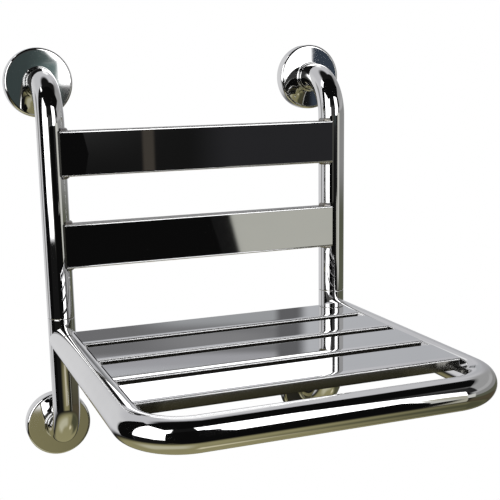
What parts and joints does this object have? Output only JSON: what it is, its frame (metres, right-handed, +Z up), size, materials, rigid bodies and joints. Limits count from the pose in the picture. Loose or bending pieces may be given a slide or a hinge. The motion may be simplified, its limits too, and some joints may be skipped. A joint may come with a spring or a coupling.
{
  "type": "wall-mounted shower seat",
  "caption": "Fixed shower seat for a wall, in bent polished tube, with a slatted folded-sheet seat and back, and round flange covers that slide over screwed wall plates.",
  "frame": {"origin": "on the wall face, midway between the centres of the four wall plates", "axes": "+X to the right for someone facing the wall, +Y into the wall, +Z up; the seat points to -Y"},
  "size_m": [0.433, 0.445, 0.505],
  "materials": {
    "polished_tube": "mirror-polished stainless steel tube",
    "polished_seat_sheet": "mirror-polished stainless steel sheet",
    "polished_back_sheet": "mirror-polished stainless steel sheet",
    "polished_cover": "mirror-polished pressed stainless steel",
    "plate_steel": "plain laser-cut stainless steel plate",
    "turned_steel": "turned stainless steel",
    "screw_steel": "stainless steel set screw",
    "weld_steel": "brushed weld bead"
  },
  "bodies": {
    "frame": {"upper_post_left": "polished_tube", "upper_post_right": "polished_tube", "lower_post_left": "polished_tube", "lower_post_right": "polished_tube", "joint_spigot_left": "turned_steel", "joint_spigot_right": "turned_steel", "joint_lock_screws": "screw_steel", "seat_frame_tube": "polished_tube", "seat_slat_1": "polished_seat_sheet", "seat_slat_2": "polished_seat_sheet", "seat_slat_3": "polished_seat_sheet", "seat_slat_4": "polished_seat_sheet", "back_slat_upper": "polished_back_sheet", "back_slat_lower": "polished_back_sheet", "wall_plate_upper_left": "plate_steel", "wall_plate_upper_right": "plate_steel", "wall_plate_lower_left": "plate_steel", "wall_plate_lower_right": "plate_steel", "back_slat_welds": "weld_steel", "seat_slat_welds": "weld_steel", "wall_plate_welds": "weld_steel"},
    "cover_upper_left": {"flange_cover_upper_left": "polished_cover"},
    "cover_upper_right": {"flange_cover_upper_right": "polished_cover"},
    "cover_lower_left": {"flange_cover_lower_left": "polished_cover"},
    "cover_lower_right": {"flange_cover_lower_right": "polished_cover"}
  },
  "joints": [
    {"name": "cover_slide_upper_left", "type": "slide", "parent": "frame", "child": "cover_upper_left", "axis": [0, -1, 0], "range_m": [0, 0.01]},
    {"name": "cover_slide_upper_right", "type": "slide", "parent": "frame", "child": "cover_upper_right", "axis": [0, -1, 0], "range_m": [0, 0.01]},
    {"name": "cover_slide_lower_left", "type": "slide", "parent": "frame", "child": "cover_lower_left", "axis": [0, -1, 0], "range_m": [0, 0.01]},
    {"name": "cover_slide_lower_right", "type": "slide", "parent": "frame", "child": "cover_lower_right", "axis": [0, -1, 0], "range_m": [0, 0.01]}
  ]
}
